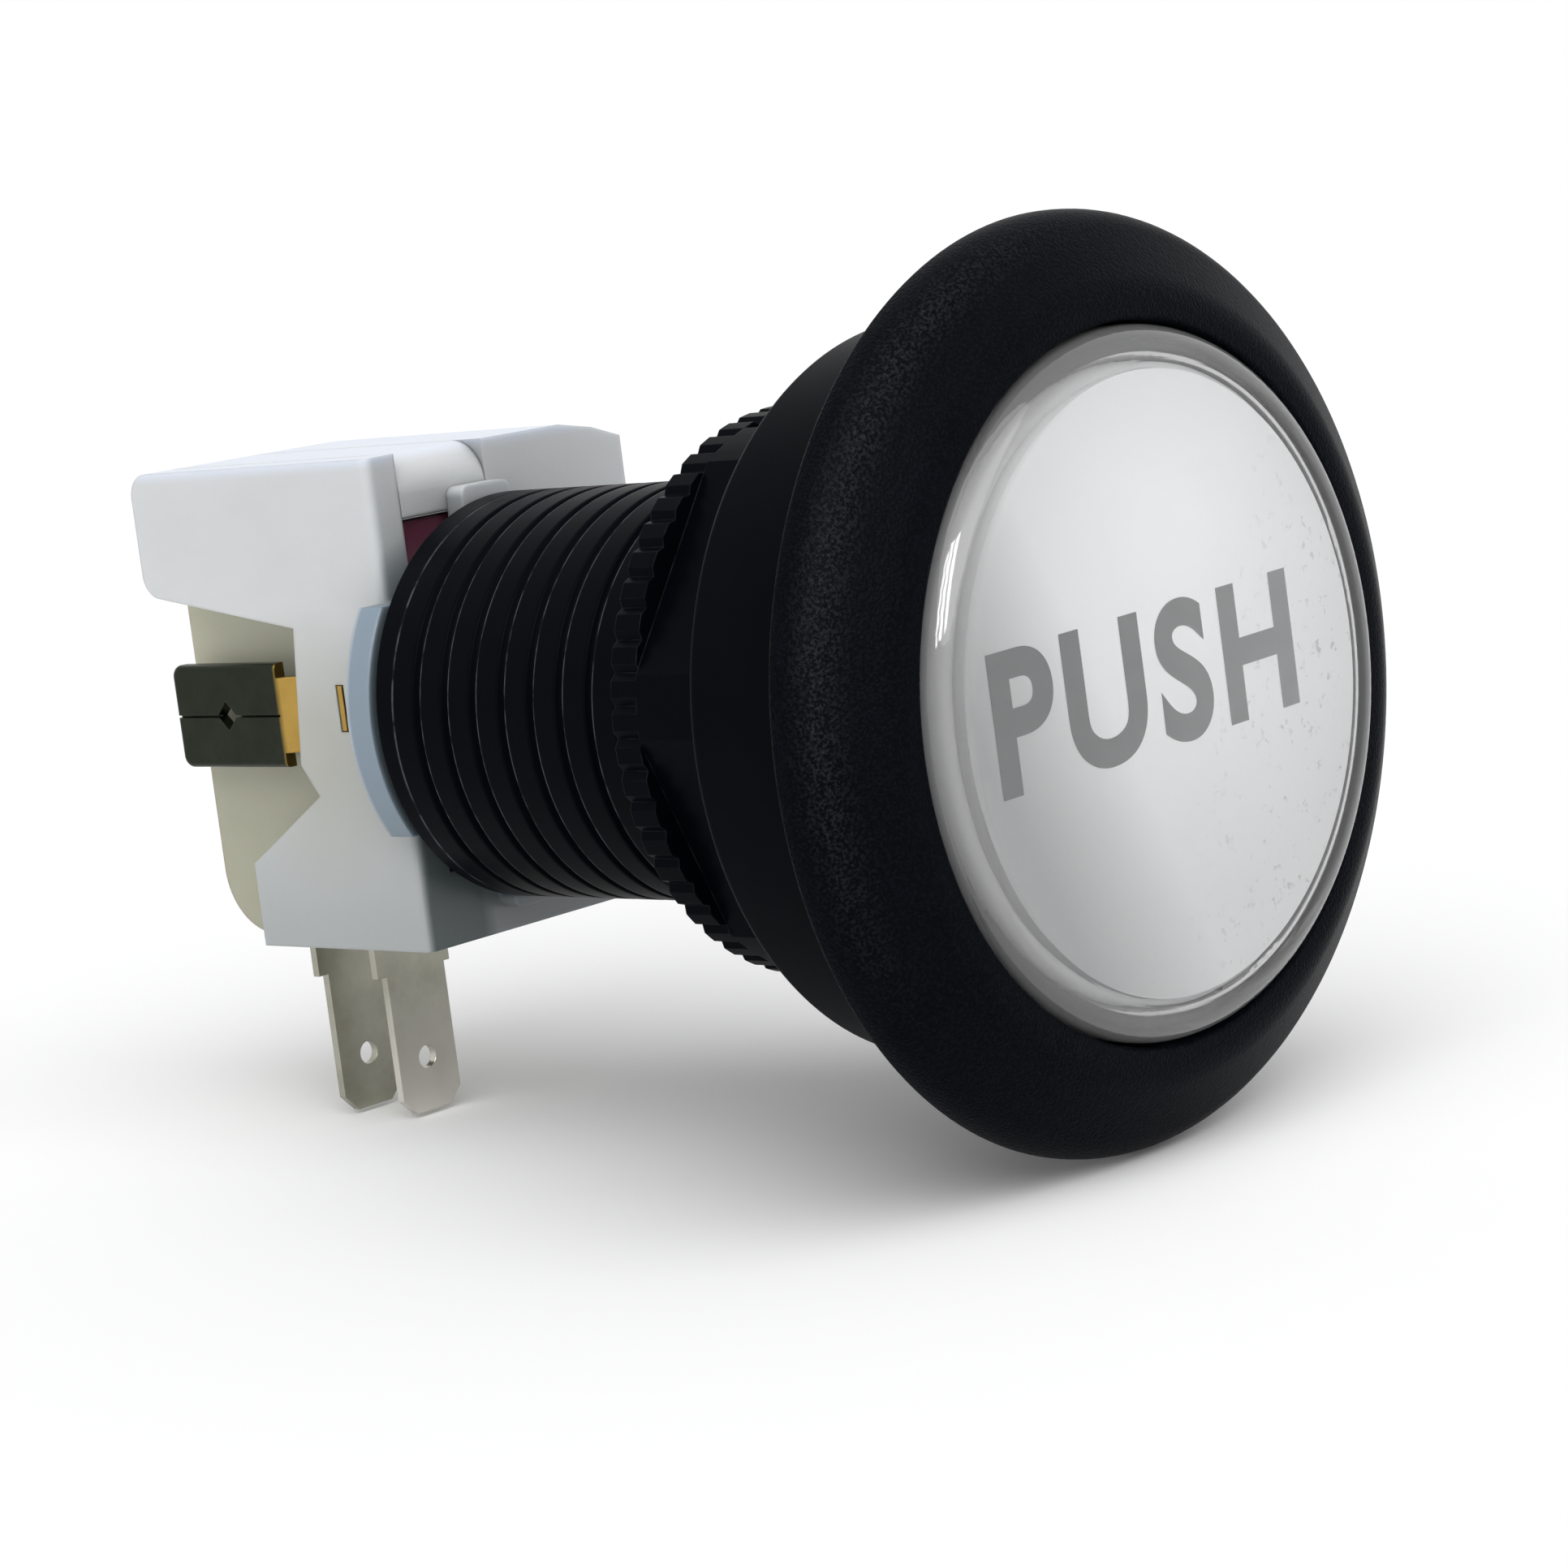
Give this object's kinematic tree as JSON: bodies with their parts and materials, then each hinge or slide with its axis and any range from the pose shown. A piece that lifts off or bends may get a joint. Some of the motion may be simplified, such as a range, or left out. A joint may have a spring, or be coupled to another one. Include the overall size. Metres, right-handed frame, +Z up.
{
  "type": "illuminated push button",
  "caption": "Round panel push button with a clear domed lens over a lit legend disc, a bezel housing on a threaded barrel, a toothed nut and a rear lamp holder with a switch.",
  "frame": {"origin": "on the button's axis, in the rear plane of the bezel, which rests on the panel", "axes": "+Y along the button's axis, rearward into the panel; +Z up; -Y is the way the lens faces"},
  "size_m": [0.05, 0.0731, 0.05],
  "materials": {
    "black_plastic": "fine grain on the bezel, smooth elsewhere",
    "clear_plastic": "clear, polished",
    "insert_white": "smooth translucent white",
    "white_nylon": "satin",
    "beige_plastic": "satin",
    "maroon_plastic": "satin",
    "spring_steel": "drawn wire",
    "contact_brass": "dulled",
    "plated_metal": "nickel plate",
    "lamp_glass": "clear"
  },
  "bodies": {
    "housing": {"housing": "black_plastic", "return_spring": "spring_steel", "holder_body": "white_nylon", "switch_cover": "white_nylon", "terminal_block": "beige_plastic", "slider_spring": "spring_steel", "front_terminal": "plated_metal", "rear_terminal": "plated_metal", "lamp_terminal_near": "contact_brass", "lamp_terminal_far": "contact_brass", "wedge_lamp": "lamp_glass"},
    "button": {"lens": "clear_plastic", "legend_insert": "insert_white", "plunger": "white_nylon"},
    "slider": {"switch_slider": "maroon_plastic", "contact_wiper": "contact_brass"},
    "nut": {"mounting_nut": "black_plastic"}
  },
  "joints": [
    {"name": "button_press", "type": "slide", "parent": "housing", "child": "button", "axis": [0, 1, 0], "range_m": [0, 0.003], "stiffness_N_per_m": 300, "springref_m": -0.004, "deforming": ["return_spring"]},
    {"name": "slider_travel", "type": "slide", "parent": "housing", "child": "slider", "axis": [0, 1, 0], "range_m": [0, 0.003], "deforming": ["slider_spring"]},
    {"name": "nut_travel", "type": "slide", "parent": "housing", "child": "nut", "axis": [0, 1, 0], "range_m": [0, 0.02]}
  ],
  "couplings": [
    {"joint": "slider_travel", "follows": "button_press", "ratio": 1}
  ]
}
